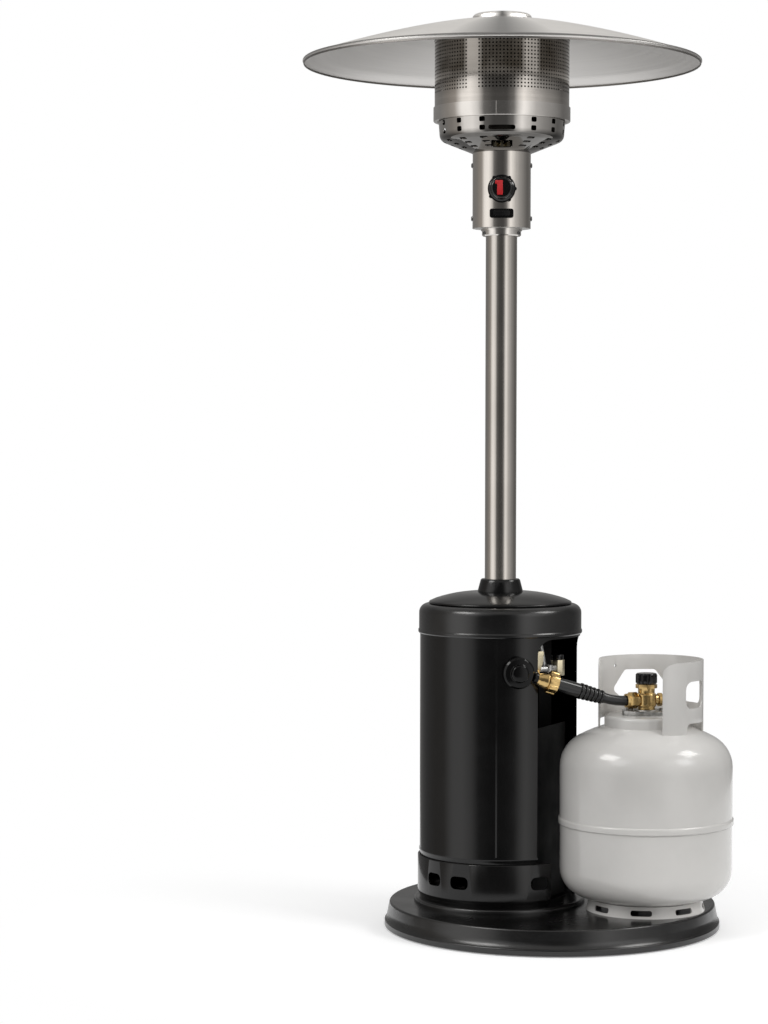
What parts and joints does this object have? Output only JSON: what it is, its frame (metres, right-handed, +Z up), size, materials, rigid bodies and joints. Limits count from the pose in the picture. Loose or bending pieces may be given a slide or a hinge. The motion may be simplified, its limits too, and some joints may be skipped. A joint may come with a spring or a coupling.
{
  "type": "gas patio heater",
  "caption": "Floor-standing gas patio heater with a round base, steel post, perforated emitter, dished reflector hood and its gas cylinder and hose beside the black housing.",
  "frame": {"origin": "centre of the round base, on the floor", "axes": "+Z up, +X to the right seen from the knob side, the knob faces -Y"},
  "size_m": [0.7809, 0.722, 1.6583],
  "materials": {
    "pad_rubber": "moulded rubber",
    "black_coat": "satin black powder coat",
    "ballast_stone": "cast, rough",
    "black_plastic": "glossy black moulding",
    "post_steel": "brushed lengthways",
    "bright_steel": "polished",
    "hood_steel": "satin",
    "emitter_steel": "heat-toned, perforated",
    "fastener_steel": "zinc plated",
    "brass": "machined",
    "zinc": "dull zinc",
    "aluminium": "bare",
    "pale_plastic": "plain moulding",
    "red_plastic": "glossy red moulding",
    "hose_rubber": "smooth black rubber",
    "tank_enamel": "glossy pale enamel"
  },
  "bodies": {
    "heater": {"base_pad": "pad_rubber", "base_pan": "black_coat", "ballast": "ballast_stone", "skirt_ring": "black_coat", "housing_shell": "black_coat", "housing_cap": "black_coat", "housing_lid": "black_coat", "post_collar": "black_plastic", "support_legs": "black_coat", "leg_bolts": "fastener_steel", "post_socket": "black_coat", "inner_panel": "black_coat", "post_tube": "post_steel", "head_collar": "bright_steel", "control_housing": "post_steel", "control_plate": "post_steel", "head_screws": "fastener_steel", "gas_valve": "aluminium", "knob_bezel": "black_plastic", "igniter_bezel": "black_plastic", "igniter_module": "pale_plastic", "tilt_switch": "pale_plastic", "burner_bowl": "bright_steel", "bowl_band": "bright_steel", "emitter_screen": "emitter_steel", "emitter_top": "emitter_steel", "venturi": "emitter_steel", "burner_head": "emitter_steel", "pilot_set": "brass", "reflector_hood": "hood_steel", "hood_studs": "fastener_steel", "hood_cap": "hood_steel", "regulator_body": "black_plastic", "regulator_bonnet": "black_plastic", "regulator_nipple": "brass", "regulator_bracket": "zinc", "feed_pipe": "aluminium", "pipe_union": "zinc", "union_cap": "black_plastic", "riser_pipe": "aluminium", "inlet_fitting": "brass", "hose_sleeve": "black_plastic", "strain_relief": "hose_rubber", "gas_hose": "hose_rubber", "tank_lower": "tank_enamel", "tank_upper": "tank_enamel", "tank_foot": "tank_enamel", "tank_guard": "tank_enamel", "valve_flange": "zinc", "tank_valve": "brass", "hose_tail_nut": "brass", "relief_valve": "brass"},
    "knob_shaft": {"knob_shaft": "fastener_steel"},
    "control_knob": {"control_knob": "black_plastic", "knob_pointer": "red_plastic"},
    "igniter_button": {"igniter_button": "black_plastic"},
    "tank_wheel": {"wheel_shaft": "brass", "tank_wheel": "black_plastic"},
    "coupling_nut": {"coupling_nut": "brass"}
  },
  "joints": [
    {"name": "knob_turn", "type": "hinge", "parent": "heater", "child": "knob_shaft", "pos_m": [-0.096, -0.0398, 1.338], "axis": [0, -1, 0], "range_deg": [0, 210]},
    {"name": "knob_push", "type": "slide", "parent": "knob_shaft", "child": "control_knob", "axis": [0, 1, 0], "range_m": [0, 0.004], "stiffness_N_per_m": 600},
    {"name": "igniter_push", "type": "slide", "parent": "heater", "child": "igniter_button", "axis": [0, 1, 0], "range_m": [0, 0.003], "stiffness_N_per_m": 800},
    {"name": "tank_valve_turn", "type": "hinge", "parent": "heater", "child": "tank_wheel", "pos_m": [0.1665, -0.083, 0.4436], "axis": [0, 0, 1], "range_deg": [0, 540]},
    {"name": "coupling_nut_spin", "type": "hinge", "parent": "heater", "child": "coupling_nut", "pos_m": [-0.00367, -0.13668, 0.45738], "axis": [0.9195, 0.2682, -0.2873], "continuous": true}
  ]
}
